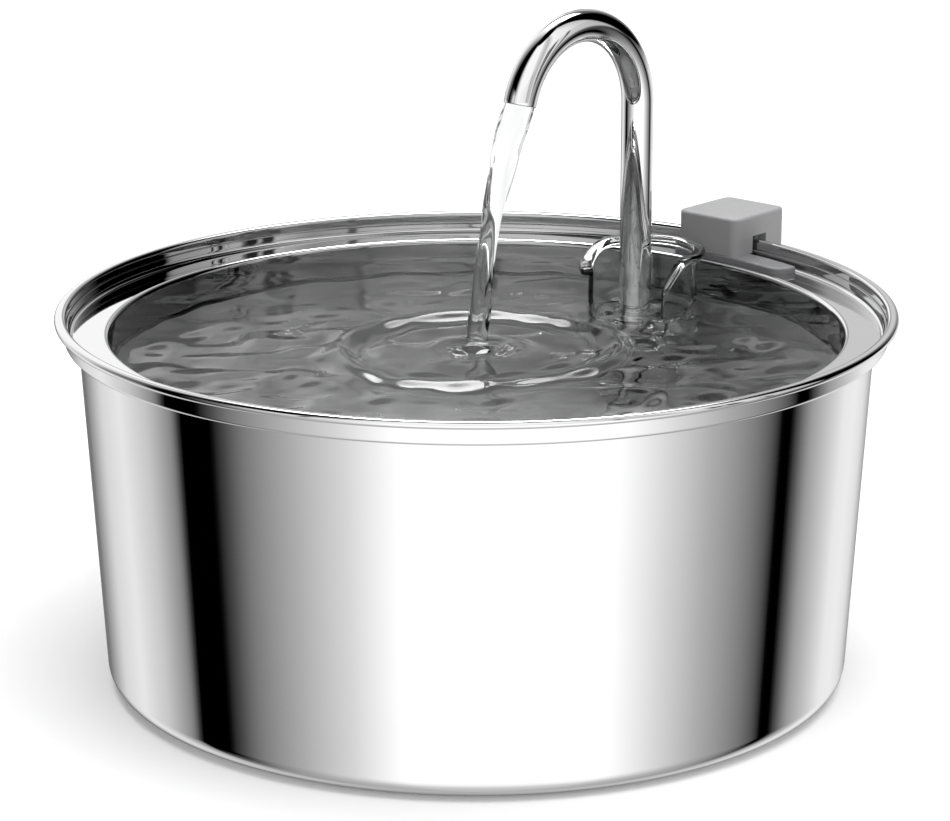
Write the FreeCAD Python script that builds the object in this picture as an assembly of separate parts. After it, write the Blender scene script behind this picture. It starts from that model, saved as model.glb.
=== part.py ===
import FreeCAD, Part
import math
import os

# Pet water fountain: a double-walled stainless bowl with a flat ledge below a
# rolled rim, a clear pump housing standing on the bowl floor at the back
# right, a polished gooseneck spout that turns in the housing, and a moulded
# clip that straddles the rim.
# Millimetres. Origin: centre of the footprint, on the surface it stands on.
# +Z up, +X to the right and +Y away from a person facing the front.

# ---------------------------------------------------------------- dimensions
SHEET = 0.6                 # stainless sheet
RIM_R = 125.0               # outside of the rolled lip
RIM_Z = 114.0               # top of the rolled lip
LIP_H = 2.2                 # height of the rolled lip
CUFF_R = 122.2              # outside of the straight cuff below the lip
CUFF_Z = 106.6              # underside of the step under the cuff
BODY_TOP_R = 118.1          # outside of the tapered wall at the step
BODY_BOT_R = 112.13         # outside of the tapered wall, run on to the bottom
BODY_CORNER = 5.7           # bottom corner radius
SHELL_Z = 1.0               # underside of the shell, above the base pad

LEDGE_Z = 107.8             # top of the flat ledge
BASIN_R = 109.0             # inner wall at the ledge
BASIN_FLOOR_R = 108.2       # inner wall run on to the floor
BASIN_FLOOR_Z = 7.0         # top of the basin floor
BASIN_CORNER = 10.0         # floor corner radius
FLANGE_R = 121.55           # outside of the upturned flange edge
FLANGE_Z = 111.0            # top of the upturned flange edge

PAD_R = 105.5               # silicone base pad
PAD_T = 1.0

SPOUT_X, SPOUT_Y = 50.3, 69.4     # axis of the spout's straight leg
TUBE_R = 5.0                      # 10 mm tube
TUBE_BORE = 4.3
TUBE_Z0 = 61.5                    # lower end, inside the socket
ARCH_R = 27.7                     # centreline radius of the arch
ARCH_Z = 161.1                    # height of the arch's centre
ARCH_SWEEP = 165.2                # degrees of bend
REACH_AZ = -133.2                 # plan direction from the leg to the mouth

CUP_X, CUP_Y = 52.6, 70.0         # axis of the clear housing
CUP_R = 17.3                      # outside of the clear wall
CUP_BORE = 15.8
CUP_RIM_R = 20.0                  # outside of the rim flange
CUP_RIM_T = 2.2
CUP_Z0 = 19.0
DECK_Z = 86.0                     # underside of the deck plate
DECK_T = 2.0
SCOOP_Z = 88.6                    # sill of the open front

SWIVEL = 50.0                     # spout turns this far each way, degrees

CLIP_AZ = 48.5                    # plan direction of the rim clip
CLIP_U0, CLIP_U1 = 111.0, 137.4   # radial extent of the clip
CLIP_HALF = 11.9
CLIP_TOP = 122.1
CLIP_LEG_Z = 99.0                 # bottom of the outer leg
CLIP_WALL = 1.6
SLOT_U0, SLOT_U1 = 119.3, 127.0   # slot over the rim
SLOT_R = 120.5                    # round inner wall of the slot
SLOT_Z = 115.4
POST_U = 132.2                    # screws and lead outlet in the outer leg
FOOT_Z0, FOOT_Z1 = 107.85, 109.9

os.makedirs("parts", exist_ok=True)
V = FreeCAD.Vector
ZAX = V(0, 0, 1)


# ------------------------------------------------------------------- helpers
def rounded_face(pts, plane="rz"):
    """Closed profile through (a, b, corner radius) points, corners as arcs.
    plane rz: a is X, b is Z. plane xy: a is X, b is Y."""
    def to3(p):
        return V(p[0], 0, p[1]) if plane == "rz" else V(p[0], p[1], 0)
    n = len(pts)
    segs = []
    for i in range(n):
        p0, p1, p2 = pts[i - 1], pts[i], pts[(i + 1) % n]
        rad = p1[2] if len(p1) > 2 else 0.0
        if rad <= 0:
            segs.append((to3(p1), to3(p1), None))
            continue
        ax, ay = p0[0] - p1[0], p0[1] - p1[1]
        bx, by = p2[0] - p1[0], p2[1] - p1[1]
        la, lb = math.hypot(ax, ay), math.hypot(bx, by)
        ax, ay, bx, by = ax / la, ay / la, bx / lb, by / lb
        half = math.acos(max(-1.0, min(1.0, ax * bx + ay * by))) / 2.0
        d = rad / math.tan(half)
        s = (p1[0] + ax * d, p1[1] + ay * d)
        e = (p1[0] + bx * d, p1[1] + by * d)
        mx, my = ax + bx, ay + by
        lm = math.hypot(mx, my)
        c = (p1[0] + mx / lm * rad / math.sin(half),
             p1[1] + my / lm * rad / math.sin(half))
        m = (c[0] - mx / lm * rad, c[1] - my / lm * rad)
        segs.append((to3(s), to3(e), to3(m)))
    edges = []
    for i in range(n):
        s, e, m = segs[i]
        if m is not None:
            edges.append(Part.Arc(s, m, e).toShape())
        nxt = segs[(i + 1) % n][0]
        if (nxt - e).Length > 1e-6:
            edges.append(Part.LineSegment(e, nxt).toShape())
    return Part.Face(Part.Wire(edges))


def spin(pts, x=0.0, y=0.0):
    s = rounded_face(pts).revolve(V(0, 0, 0), ZAX, 360)
    s.translate(V(x, y, 0))
    return s


def cyl(r, z0, z1, x=0.0, y=0.0):
    return Part.makeCylinder(r, z1 - z0, V(x, y, z0))


def ring(ro, ri, z0, z1, x=0.0, y=0.0):
    return cyl(ro, z0, z1, x, y).cut(cyl(ri, z0 - 1, z1 + 1, x, y))


def ycyl(r, y0, y1, x, z):
    return Part.makeCylinder(r, y1 - y0, V(x, y0, z), V(0, 1, 0))


def yring(ro, ri, y0, y1, x, z):
    return ycyl(ro, y0, y1, x, z).cut(ycyl(ri, y0 - 1, y1 + 1, x, z))


def box(x0, x1, y0, y1, z0, z1):
    return Part.makeBox(x1 - x0, y1 - y0, z1 - z0, V(x0, y0, z0))


def rbox(x0, x1, y0, y1, z0, z1, r):
    """Box with its vertical edges rounded."""
    f = rounded_face([(x0, y0, r), (x1, y0, r), (x1, y1, r), (x0, y1, r)], "xy")
    s = f.extrude(V(0, 0, z1 - z0))
    s.translate(V(0, 0, z0))
    return s


def sector(r, a0, a1, z0, z1, x=0.0, y=0.0):
    """Pie wedge from a0 to a1 degrees."""
    s = Part.makeCylinder(r, z1 - z0, V(0, 0, z0), ZAX, a1 - a0)
    s.rotate(V(0, 0, 0), ZAX, a0)
    s.translate(V(x, y, 0))
    return s


def clean(s):
    s = s.removeSplitter()
    if s.ShapeType == "Compound" and len(s.Solids) == 1:
        s = s.Solids[0]
    return s


def group(shapes):
    return Part.makeCompound([x for s in shapes for x in s.Solids])


def save(name, shape):
    if not shape.isValid():
        print("INVALID", name)
    print("%-18s solids %2d  volume %10.1f" % (name, len(shape.Solids), shape.Volume))
    shape.exportStep("parts/%s.step" % name)


def edges_at_z(shape, z, tol=1e-3):
    out = []
    for e in shape.Edges:
        b = e.BoundBox
        if abs(b.ZMin - z) < tol and abs(b.ZMax - z) < tol:
            out.append(e)
    return out


def soft_edges(shape, edges, r):
    """Fillet if the kernel can, else a chamfer, else leave sharp."""
    for op in ("makeFillet", "makeChamfer"):
        try:
            s = getattr(shape, op)(r, edges)
            if s.isValid() and s.Volume > 0.5 * shape.Volume:
                return s
        except Exception:
            pass
    print("edges left sharp")
    return shape


# -------------------------------------------------------------------- vessel
slope = (BODY_TOP_R - BODY_BOT_R) / (CUFF_Z - SHELL_Z)
body_in = SHEET / math.cos(math.atan(slope))
shelf_top = CUFF_Z + SHEET

outer_shell = spin([
    (0, SHELL_Z),
    (BODY_BOT_R, SHELL_Z, BODY_CORNER),
    (BODY_TOP_R, CUFF_Z, 0.9),
    (CUFF_R, CUFF_Z, 0.9),
    (CUFF_R, RIM_Z - LIP_H, 0.35),
    (RIM_R, RIM_Z - LIP_H, 1.0),
    (RIM_R, RIM_Z, 1.15),
    (CUFF_R - SHEET, RIM_Z, 1.2),
    (CUFF_R - SHEET, shelf_top, 0.3),
    (BODY_TOP_R - body_in + slope * SHEET, shelf_top, 0.3),
    (BODY_BOT_R - body_in + slope * SHEET, SHELL_Z + SHEET, BODY_CORNER - SHEET),
    (0, SHELL_Z + SHEET),
])
save("outer_shell", outer_shell)

inner_bowl = spin([
    (0, BASIN_FLOOR_Z - SHEET),
    (BASIN_FLOOR_R + SHEET, BASIN_FLOOR_Z - SHEET, BASIN_CORNER + SHEET),
    (BASIN_R + SHEET, LEDGE_Z - SHEET, 0.9),
    (FLANGE_R, LEDGE_Z - SHEET, 2.0),
    (FLANGE_R, FLANGE_Z, 0.2),
    (FLANGE_R - SHEET, FLANGE_Z, 0.2),
    (FLANGE_R - SHEET, LEDGE_Z, 1.4),
    (BASIN_R, LEDGE_Z, 1.5),
    (BASIN_FLOOR_R, BASIN_FLOOR_Z, BASIN_CORNER),
    (0, BASIN_FLOOR_Z),
])
save("inner_bowl", inner_bowl)

pad = [(0, 0)]
for g in (60.0, 70.0, 80.0, 88.0, 94.0, 99.0):
    pad += [(g - 0.9, 0), (g - 0.5, 0.45), (g + 0.5, 0.45), (g + 0.9, 0)]
pad += [(PAD_R, 0, 0.4), (PAD_R, PAD_T), (0, PAD_T)]
save("base_pad", spin(pad))

# --------------------------------------------------------------- pump housing
# height of the clear rim round the housing axis: level round the back and the
# right, dropping to the left end and to the right end of the open front
RIM_LINE = [(-75.0, 102.4), (-73.0, 103.7), (-71.0, 104.9), (-69.0, 106.0),
            (-66.0, 107.6), (-63.0, 109.1), (-60.0, 110.5), (-56.5, 112.0),
            (-52.5, 113.3), (-48.0, 114.1), (-42.0, 114.45), (-30.0, 114.5),
            (0.0, 114.5), (30.0, 114.5), (60.0, 114.5), (90.0, 114.5),
            (112.0, 114.5), (122.0, 114.45), (130.0, 114.15), (138.0, 113.5),
            (146.0, 112.5), (154.0, 111.4), (162.0, 110.3), (170.0, 109.5),
            (178.0, 109.1), (186.0, 108.8), (194.0, 108.3), (198.0, 108.0)]
SCOOP_A0, SCOOP_A1 = -71.0, 194.0       # the wall runs between these


def above_line(dz, r0, r1):
    """Everything over the rim line (shifted by dz) between two radii."""
    curves = []
    for r in (r0, r1):
        c = Part.BSplineCurve()
        c.interpolate([V(r * math.cos(math.radians(a)), r * math.sin(math.radians(a)), z + dz)
                       for a, z in RIM_LINE])
        curves.append(c.toShape())
    f = Part.makeRuledSurface(curves[0], curves[1])
    s = f.extrude(V(0, 0, 40))
    s.translate(V(CUP_X, CUP_Y, 0))
    return s


over_top = above_line(0.0, 12.0, 24.0)
over_under = above_line(-CUP_RIM_T, 12.0, 24.0)
front_gap = sector(30.0, SCOOP_A1, 360.0 + SCOOP_A0, SCOOP_Z, 140.0, CUP_X, CUP_Y)

cup_wall = ring(CUP_R, CUP_BORE, CUP_Z0, 120.0, CUP_X, CUP_Y)
cup_wall = cup_wall.cut(front_gap).cut(over_top)
cup_rim = ring(CUP_RIM_R, CUP_BORE, 92.0, 120.0, CUP_X, CUP_Y)
cup_rim = cup_rim.cut(front_gap).cut(over_top).common(over_under)
deck_rest = ring(CUP_BORE + 0.2, CUP_BORE - 0.9, DECK_Z - 1.6, DECK_Z, CUP_X, CUP_Y)
housing_cup = clean(cup_wall.fuse([cup_rim, deck_rest]))
save("housing_cup", housing_cup)

# base of the housing: a strainer with slots all round and three foot sockets
base_profile = [
    (0, 9.6), (13.6, 9.6, 0.8), (CUP_R, 13.4, 1.0), (CUP_R, CUP_Z0),
    (CUP_BORE - 0.1, CUP_Z0), (CUP_BORE - 0.1, 24.8, 0.3),
    (CUP_BORE - 1.5, 24.8, 0.3), (CUP_BORE - 1.5, 13.6, 0.6), (12.8, 11.4, 0.6), (0, 11.4),
]
housing_base = spin(base_profile, CUP_X, CUP_Y)
slots = []
for i in range(18):
    a = i * 20.0
    b = box(10.0, 19.0, -0.75, 0.75, 12.6, 17.6)
    b.rotate(V(0, 0, 0), ZAX, a)
    b.translate(V(CUP_X, CUP_Y, 0))
    slots.append(b)
housing_base = housing_base.cut(Part.makeCompound(slots))
out_az = math.degrees(math.atan2(CUP_Y, CUP_X))
feet_xy = [(CUP_X + 9.6 * math.cos(math.radians(out_az + a)),
            CUP_Y + 9.6 * math.sin(math.radians(out_az + a))) for a in (60, 180, 300)]
for fx, fy in feet_xy:
    housing_base = housing_base.cut(cyl(1.5, 9.0, 12.0, fx, fy))
housing_base = clean(housing_base)
save("housing_base", housing_base)

feet = []
for fx, fy in feet_xy:
    feet.append(spin([(0, 7.9), (2.6, 7.55, 0.3), (4.3, 7.05), (4.5, 7.15), (3.0, 8.7, 0.8),
                      (2.2, 9.6), (1.5, 9.6), (1.5, 11.4), (2.0, 11.45), (1.3, 12.0, 0.2),
                      (0, 12.0)], fx, fy))
save("suction_feet", group(feet))

foam = spin([(2.2, 12.1), (11.9, 12.1), (14.1, 14.1), (14.1, 18.0), (2.2, 18.0)], CUP_X, CUP_Y)
save("filter_foam", foam)
carbon = spin([(0, 18.2), (14.1, 18.2, 0.8), (14.1, 24.2, 0.8), (0, 24.2)], CUP_X, CUP_Y)
save("filter_carbon", carbon)

cradle = cyl(CUP_BORE - 0.1, 24.9, 26.5, CUP_X, CUP_Y)
holes = []
for rr, n in ((5.0, 6), (9.5, 12), (13.3, 18)):
    for i in range(n):
        a = math.radians(360.0 * i / n + 7.0)
        holes.append(cyl(1.1, 24.0, 27.0, CUP_X + rr * math.cos(a), CUP_Y + rr * math.sin(a)))
save("pump_cradle", clean(cradle.cut(Part.makeCompound(holes))))

# ----------------------------------------------------------------------- pump
AX, AZ = SPOUT_X, 37.6            # rotor axis, along Y
PZ0, PZ1 = 26.6, 48.6             # pump body bottom and top
PW = 9.0                          # half width
pump = box(AX - PW, AX + PW, 63.0, 82.0, PZ0, PZ1)
vert = [e for e in pump.Edges if abs(e.BoundBox.ZMax - e.BoundBox.ZMin - (PZ1 - PZ0)) < 1e-3]
back_v = [e for e in vert if e.BoundBox.YMin > 80]
front_v = [e for e in vert if e.BoundBox.YMin < 64]
pump = pump.makeChamfer(4.5, back_v)
pump = soft_edges(pump, [e for e in pump.Edges
                         if abs(e.BoundBox.ZMax - e.BoundBox.ZMin - (PZ1 - PZ0)) < 1e-3
                         and e.BoundBox.YMin < 64], 1.5)
nipple = cyl(4.0, PZ1 - 1.0, 57.0, SPOUT_X, SPOUT_Y)
pump = pump.fuse(nipple)
pump = pump.cut(ycyl(8.2, 62.0, 73.4, AX, AZ))             # volute pocket
pump = pump.cut(ycyl(4.8, 73.0, 79.2, AX, AZ))             # rotor can, inside
winding = rbox(AX - 7.6, AX + 7.6, 74.6, 83.0, AZ - 9.4, AZ + 9.4, 0.6).cut(
    box(AX - 12, AX - 4.2, 78.5, 90, 0, 90)).cut(box(AX + 4.2, AX + 12, 78.5, 90, 0, 90))
winding = winding.cut(ycyl(5.4, 74.0, 79.8, AX, AZ))       # keeps the can's wall
pump = pump.cut(winding)
pump = pump.cut(cyl(2.8, AZ, 58.0, SPOUT_X, SPOUT_Y))      # outlet
pump = pump.cut(ycyl(1.6, 78.9, 79.5, AX, AZ))             # seat of the rear bush
pump = clean(pump)
save("pump_body", pump)

cap = rounded_face([(AX - 4.2, AZ - 9.4, 0.6), (AX + 4.2, AZ - 9.4, 0.6),
                    (AX + 4.2, AZ + 9.4, 0.6), (AX - 4.2, AZ + 9.4, 0.6)], "rz").extrude(V(0, 1.2, 0))
cap.translate(V(0, 80.8, 0))
save("pump_back_cap", cap)

core = yring(6.5, 5.45, 75.2, 78.2, AX, AZ)
limb_t = box(AX - 2.0, AX + 2.0, 75.2, 78.2, AZ + 6.0, AZ + 9.3)
limb_b = box(AX - 2.0, AX + 2.0, 75.2, 78.2, AZ - 9.3, AZ - 6.0)
save("stator_core", clean(core.fuse([limb_t, limb_b])))
coils = []
for s in (1, -1):
    z0, z1 = sorted((AZ + s * 6.9, AZ + s * 9.0))
    c = rbox(AX - 4.6, AX + 4.6, 74.7, 78.4, z0, z1, 0.4)
    coils.append(c.cut(box(AX - 2.02, AX + 2.02, 75.18, 78.22, z0 - 1, z1 + 1)))
save("stator_coils", group(coils))
board = box(AX - 3.9, AX + 3.9, 80.0, 80.6, AZ - 9.0, AZ + 9.0)
save("driver_board", board)

cover = rounded_face([(AX - PW, PZ0, 1.5), (AX + PW, PZ0, 1.5), (AX + PW, PZ1, 1.5),
                      (AX - PW, PZ1, 1.5)], "rz").extrude(V(0, 2.2, 0))
cover.translate(V(0, 60.8, 0))
cover = cover.fuse([yring(8.1, 7.1, 62.9, 64.4, AX, AZ), ycyl(5.0, 58.9, 60.9, AX, AZ)])
cover = cover.cut(ycyl(3.9, 58.0, 66.0, AX, AZ))
hub = ycyl(2.1, 59.6, 62.8, AX, AZ)
spokes = []
for i in range(3):
    sp = box(-0.55, 0.55, 59.6, 61.4, 0.5, 4.3)
    sp.rotate(V(0, 0, 0), V(0, 1, 0), i * 120.0)
    sp.translate(V(AX, 0, AZ))
    spokes.append(sp)
cover = cover.fuse([hub] + spokes).cut(ycyl(1.6, 61.2, 63.0, AX, AZ))
screw_xz = [(AX + sx * 7.3, AZ + sz * 9.2) for sx in (1, -1) for sz in (1, -1)]
cover = cover.cut(Part.makeCompound([ycyl(0.85, 60.0, 64.0, x, z) for x, z in screw_xz]))
cover = clean(cover)
save("pump_cover", cover)
screws = []
for x, z in screw_xz:
    s = ycyl(0.8, 60.0, 62.95, x, z).fuse(ycyl(1.4, 59.9, 60.8, x, z))
    s = s.cut(box(x - 0.9, x + 0.9, 59.8, 60.25, z - 0.18, z + 0.18))
    s = s.cut(box(x - 0.18, x + 0.18, 59.8, 60.25, z - 0.9, z + 0.9))
    screws.append(clean(s))
save("pump_screws", group(screws))

save("rotor_shaft", ycyl(1.0, 61.3, 79.1, AX, AZ))
bush_f = yring(1.55, 1.02, 61.25, 62.75, AX, AZ)
bush_r = yring(1.55, 1.02, 77.9, 79.15, AX, AZ)
save("shaft_bushes", group([bush_f, bush_r]))

magnet = yring(4.3, 1.62, 73.6, 77.6, AX, AZ)
save("rotor_magnet", magnet)
imp = ycyl(6.9, 72.0, 72.9, AX, AZ).fuse([ycyl(2.4, 65.2, 72.1, AX, AZ), ycyl(1.6, 72.8, 77.6, AX, AZ)])
blades = []
for i in range(6):
    bl = box(1.9, 6.7, 66.0, 72.2, -0.4, 0.4)
    bl.rotate(V(2.2, 0, 0), V(0, 1, 0), 16.0)
    bl.rotate(V(0, 0, 0), V(0, 1, 0), i * 60.0)
    bl.translate(V(AX, 0, AZ))
    blades.append(bl)
imp = imp.fuse(blades).common(ycyl(6.9, 60.0, 80.0, AX, AZ)).cut(ycyl(1.05, 60.0, 80.0, AX, AZ))
save("impeller", clean(imp))

# --------------------------------------------------- socket, deck and swivel
socket = spin([(4.02, 49.0, 0.0), (6.6, 49.0, 0.6), (6.9, 57.0), (6.9, 74.0, 0.8), (5.06, 74.0, 0.4),
               (5.06, 70.9), (6.6, 70.9), (6.6, 69.1), (5.06, 69.1),
               (5.06, 66.4), (6.6, 66.4), (6.6, 64.6), (5.06, 64.6),
               (5.06, 61.2), (3.4, 59.8), (3.4, 57.2), (4.02, 57.2)], SPOUT_X, SPOUT_Y)
save("spout_socket", socket)
orings = [Part.makeTorus(5.83, 0.76, V(SPOUT_X, SPOUT_Y, z)) for z in (70.0, 65.5)]
save("socket_orings", group(orings))

tau = REACH_AZ + 180.0            # the stop lug points away from the mouth
LUG_HALF = 9.0
deck = cyl(CUP_BORE - 0.12, DECK_Z, DECK_Z + DECK_T, CUP_X, CUP_Y)
stops = []
for s in (1, -1):
    a0 = tau + s * (SWIVEL + LUG_HALF + 1.0)
    a1 = a0 + s * 14.0
    lo, hi = min(a0, a1), max(a0, a1)
    st = sector(10.4, lo, hi, DECK_Z + 1.0, DECK_Z + DECK_T + 2.0, SPOUT_X, SPOUT_Y)
    stops.append(st.cut(cyl(7.6, DECK_Z, DECK_Z + 6, SPOUT_X, SPOUT_Y)))
deck = deck.fuse(stops)
deck = deck.cut(cyl(6.28, DECK_Z - 1, DECK_Z + 8, SPOUT_X, SPOUT_Y))
ga = math.radians(200.0)
GX, GY = CUP_X + 12.4 * math.cos(ga), CUP_Y + 12.4 * math.sin(ga)
deck = deck.cut(cyl(1.7, DECK_Z - 1, DECK_Z + 8, GX, GY))
ret_holes = []
for a in (-20.0, -45.0, -70.0, -95.0, -120.0):
    ret_holes.append(cyl(1.3, DECK_Z - 1, DECK_Z + 8,
                         CUP_X + 13.0 * math.cos(math.radians(a)),
                         CUP_Y + 13.0 * math.sin(math.radians(a))))
deck = clean(deck.cut(Part.makeCompound(ret_holes)))
save("housing_deck", deck)
dz0, dz1 = DECK_Z, DECK_Z + DECK_T
grommet = spin([(1.1, dz0 - 0.7, 0.2), (2.3, dz0 - 0.7, 0.3), (2.3, dz0), (1.68, dz0), (1.68, dz1),
                (2.3, dz1), (2.3, dz1 + 0.7, 0.3), (1.1, dz1 + 0.7, 0.2)], GX, GY)
save("deck_grommet", grommet)
gland = spin([(1.1, 48.6), (2.4, 48.6), (2.4, 50.0, 0.4), (1.7, 52.6, 0.3), (1.1, 52.6)],
             AX + 5.6, 77.4)
save("pump_gland", gland)

collar = spin([(TUBE_R + 0.01, DECK_Z - 1.6), (6.2, DECK_Z - 1.6, 0.3), (6.2, dz1 + 0.15),
               (7.0, dz1 + 0.15), (7.0, dz1 + 1.9, 0.5), (TUBE_R + 0.6, dz1 + 2.6, 0.3),
               (TUBE_R + 0.01, dz1 + 2.6)], SPOUT_X, SPOUT_Y)
lug = sector(10.0, tau - LUG_HALF, tau + LUG_HALF, dz1 + 0.15, dz1 + 1.8, SPOUT_X, SPOUT_Y)
collar = clean(collar.fuse(lug.cut(cyl(6.4, 80, 100, SPOUT_X, SPOUT_Y))))
save("spout_collar", collar)

ux, uy = math.cos(math.radians(REACH_AZ)), math.sin(math.radians(REACH_AZ))


def spout_solid(r):
    straight = cyl(r, TUBE_Z0, ARCH_Z, SPOUT_X, SPOUT_Y)
    disc = Part.Face(Part.Wire(Part.makeCircle(r, V(SPOUT_X, SPOUT_Y, ARCH_Z), ZAX)))
    centre = V(SPOUT_X + ux * ARCH_R, SPOUT_Y + uy * ARCH_R, ARCH_Z)
    axis = V(-uy, ux, 0)
    arch = disc.revolve(centre, axis, ARCH_SWEEP)
    if arch.BoundBox.ZMax < ARCH_Z + ARCH_R:      # bend the other way round
        arch = disc.revolve(centre, axis, -ARCH_SWEEP)
    return straight.fuse(arch)


spout = clean(spout_solid(TUBE_R).cut(spout_solid(TUBE_BORE)))
save("spout_tube", spout)

# ------------------------------------------------------------------- rim clip
# built along +X (u outward from the bowl axis, v = Y) and turned to CLIP_AZ
def place(s):
    s.rotate(V(0, 0, 0), ZAX, CLIP_AZ)
    return s


hood = rbox(CLIP_U0, CLIP_U1, -CLIP_HALF, CLIP_HALF, FOOT_Z1, CLIP_TOP, 3.0)
top_edges = edges_at_z(hood, CLIP_TOP)
hood = soft_edges(hood, top_edges, 0.9)
leg = rbox(CLIP_U0, CLIP_U1, -CLIP_HALF, CLIP_HALF, CLIP_LEG_Z, FOOT_Z1 + 1.0, 3.0)
leg = leg.common(box(SLOT_U1, 140, -20, 20, 90, 120))
hood = clean(hood.fuse(leg))
w = CLIP_WALL
cav = rbox(CLIP_U0 + w, CLIP_U1 - w, -CLIP_HALF + w, CLIP_HALF - w, 90.0, CLIP_TOP - w, 1.6)
hood = hood.cut(cav)
slot = box(SLOT_U0 - 4, SLOT_U1, -20, 20, 90, SLOT_Z).cut(cyl(SLOT_R, 80, 130, 0, 0))
hood = hood.cut(slot)
for s in (1, -1):                     # screw posts in the outer leg
    post = cyl(1.9, 103.0, CLIP_TOP - w + 0.3, POST_U, s * 6.6)
    hood = hood.fuse(post)
    hood = hood.cut(cyl(0.85, 102.0, 112.0, POST_U, s * 6.6))
INLET_U, INLET_Z = 115.6, 113.0
hood = hood.cut(Part.makeCylinder(1.5, 4, V(INLET_U, CLIP_HALF - 3.0, INLET_Z), V(0, 1, 0)))
save("clip_hood", place(clean(hood)))

iv = CLIP_HALF - w - 0.05
t = 1.5
saddle = box(SLOT_U0 - t, SLOT_U0 + 2, -iv, iv, FOOT_Z1, SLOT_Z + t)
saddle = saddle.fuse([
    box(SLOT_U0 - t, SLOT_U1 + t, -iv, iv, SLOT_Z, SLOT_Z + t),
    box(SLOT_U1, SLOT_U1 + t, -iv, iv, CLIP_LEG_Z, SLOT_Z + t),
    box(CLIP_U0 + w + 0.05, SLOT_U0, -iv, iv, FOOT_Z1, FOOT_Z1 + 1.4),
    box(SLOT_U1, CLIP_U1 - w - 0.05, -iv, iv, CLIP_LEG_Z, CLIP_LEG_Z + 1.6)])
keep = rbox(CLIP_U0 + w + 0.05, CLIP_U1 - w - 0.05, -iv, iv, 90, 130, 1.55)
saddle = saddle.common(keep).cut(slot)
for s in (1, -1):
    saddle = saddle.cut(cyl(1.0, 98.0, 101.0, POST_U, s * 6.6))
OUT_U = POST_U
saddle = saddle.cut(cyl(1.5, 98.0, 101.0, OUT_U, 0))
saddle = saddle.cut(cyl(1.6, 117.0, 117.5, 123.0, 0))
save("clip_saddle", place(clean(saddle)))

cscrews = []
for s in (1, -1):
    c = cyl(0.82, 98.4, 108.0, POST_U, s * 6.6).fuse(cyl(1.7, 97.9, 99.0, POST_U, s * 6.6))
    c = c.cut(box(POST_U - 1.2, POST_U + 1.2, s * 6.6 - 0.22, s * 6.6 + 0.22, 97.8, 98.4))
    c = c.cut(box(POST_U - 0.22, POST_U + 0.22, s * 6.6 - 1.2, s * 6.6 + 1.2, 97.8, 98.4))
    cscrews.append(clean(c))
save("clip_screws", place(group(cscrews)))

g_in = spin([(1.1, -0.6, 0.15), (2.1, -0.6, 0.2), (2.1, 0), (1.48, 0), (1.48, 1.6), (1.1, 1.6)])
g_in.rotate(V(0, 0, 0), V(1, 0, 0), 90)           # head to -Z becomes head to +Y
g_in.translate(V(INLET_U, CLIP_HALF, INLET_Z))
g_out = spin([(1.1, CLIP_LEG_Z - 0.6, 0.15), (2.1, CLIP_LEG_Z - 0.6, 0.2), (2.1, CLIP_LEG_Z),
              (1.48, CLIP_LEG_Z), (1.48, CLIP_LEG_Z + 1.6), (1.1, CLIP_LEG_Z + 1.6)], OUT_U, 0)
save("clip_grommets", place(group([g_in, g_out])))

# soft grips: one inside the outer leg against the lip, one over the rim
grip_leg = ring(SLOT_U1 + 1.0, RIM_R + 0.35, 108.4, 114.6).common(box(120, SLOT_U1 - 0.0, -9.0, 9.0, 100, 118))
grip_top = box(120.6, 126.4, -9.0, 9.0, RIM_Z + 0.35, SLOT_Z)
ridges = [box(120.0, 127.0, v - 0.35, v + 0.35, RIM_Z, RIM_Z + 0.9) for v in (-7, -5, -3, -1, 1, 3, 5, 7)]
grip_top = grip_top.cut(Part.makeCompound(ridges))
save("clip_grips", place(group([grip_leg, clean(grip_top)])))

# foot: a soft tongue lying on the ledge, under the clip and on past it
A0, A1 = 32.2, 54.6
RI, RO = 111.0, 119.5


def polar(r, a):
    return V(r * math.cos(math.radians(a)), r * math.sin(math.radians(a)), 0)


def tongue(grow, z0, z1):
    """Sector of the ledge with its two inner corners well rounded."""
    ri, ro = RI - grow, RO + grow
    ga = math.degrees(grow / 114.0)
    a0, a1 = A0 - ga, A1 + ga
    c = 5.0                                   # inner right corner
    d = 1.4                                   # other corners
    def deg(mm, r):
        return math.degrees(mm / r)
    k = 1.0 - 1.0 / math.sqrt(2.0)
    es = [
        Part.Arc(polar(ri, a0 + deg(c, ri)), polar(ri, (a0 + a1) / 2), polar(ri, a1 - deg(d, ri))).toShape(),
        Part.Arc(polar(ri, a1 - deg(d, ri)), polar(ri + d * k, a1 - deg(d * k, ri)), polar(ri + d, a1)).toShape(),
        Part.LineSegment(polar(ri + d, a1), polar(ro - d, a1)).toShape(),
        Part.Arc(polar(ro - d, a1), polar(ro - d * k, a1 - deg(d * k, ro)), polar(ro, a1 - deg(d, ro))).toShape(),
        Part.Arc(polar(ro, a1 - deg(d, ro)), polar(ro, (a0 + a1) / 2), polar(ro, a0 + deg(d, ro))).toShape(),
        Part.Arc(polar(ro, a0 + deg(d, ro)), polar(ro - d * k, a0 + deg(d * k, ro)), polar(ro - d, a0)).toShape(),
        Part.LineSegment(polar(ro - d, a0), polar(ri + c, a0)).toShape(),
        Part.Arc(polar(ri + c, a0), polar(ri + c * k, a0 + deg(c * k, ri)), polar(ri, a0 + deg(c, ri))).toShape(),
    ]
    s = Part.Face(Part.Wire(es)).extrude(V(0, 0, z1 - z0))
    s.translate(V(0, 0, z0))
    return s


foot = tongue(0.0, FOOT_Z0, FOOT_Z1)
foot = soft_edges(foot, edges_at_z(foot, FOOT_Z1), 0.7)
save("clip_foot", foot)
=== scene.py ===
import bpy
import bmesh
import math
import numpy as np
from mathutils import Matrix, Vector


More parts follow.
